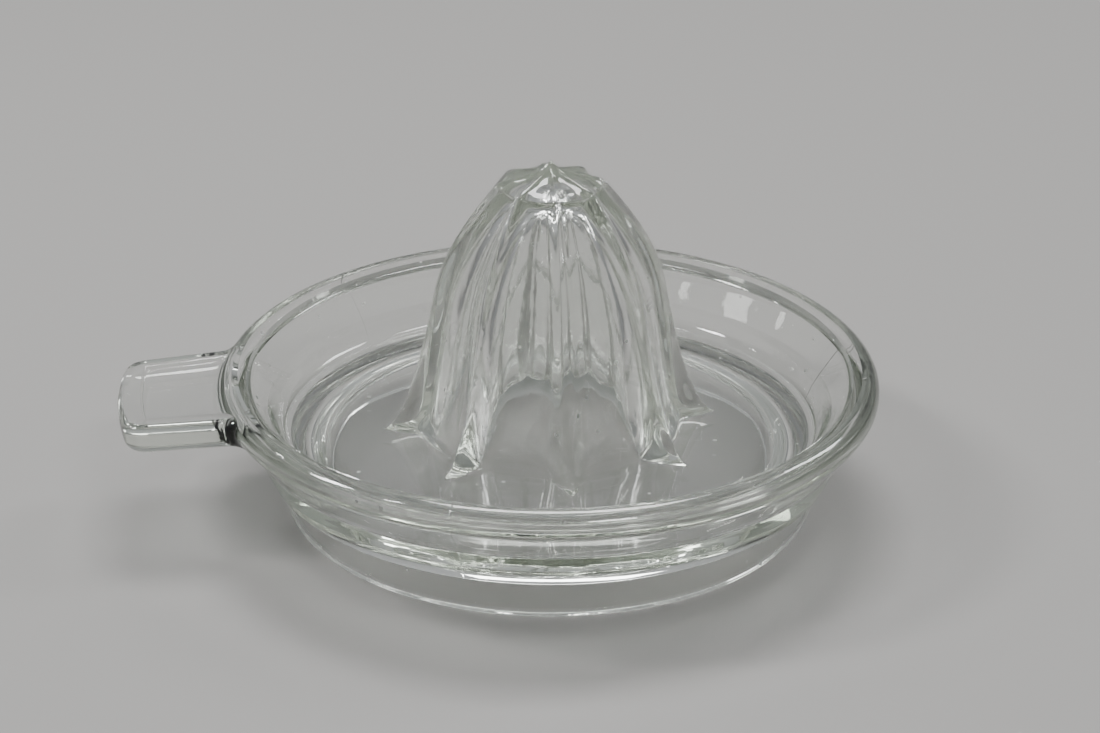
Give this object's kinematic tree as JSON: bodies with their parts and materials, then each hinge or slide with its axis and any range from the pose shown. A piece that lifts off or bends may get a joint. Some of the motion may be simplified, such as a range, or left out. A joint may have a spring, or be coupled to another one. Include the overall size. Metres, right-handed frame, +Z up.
{
  "type": "citrus reamer",
  "caption": "One-piece clear pressed-glass citrus reamer: shallow dish with a rounded lip, ribbed hollow cone, foot ring and flat tab handle.",
  "frame": {"origin": "centre of the foot ring's underside, on the dish's axis", "axes": "+Z up along the dish's axis, the tab handle points along -X, and Y is across the handle"},
  "size_m": [0.1731, 0.15, 0.081],
  "materials": {
    "clear_glass": "fire-polished pressed soda-lime glass, clear with a slight grey-green tint in the thick parts"
  },
  "bodies": {
    "root": {"rim_lip": "clear_glass", "dish_wall": "clear_glass", "dish_floor": "clear_glass", "foot_ring": "clear_glass", "reamer_cone": "clear_glass", "star_cap": "clear_glass", "tab_handle": "clear_glass"}
  },
  "joints": []
}
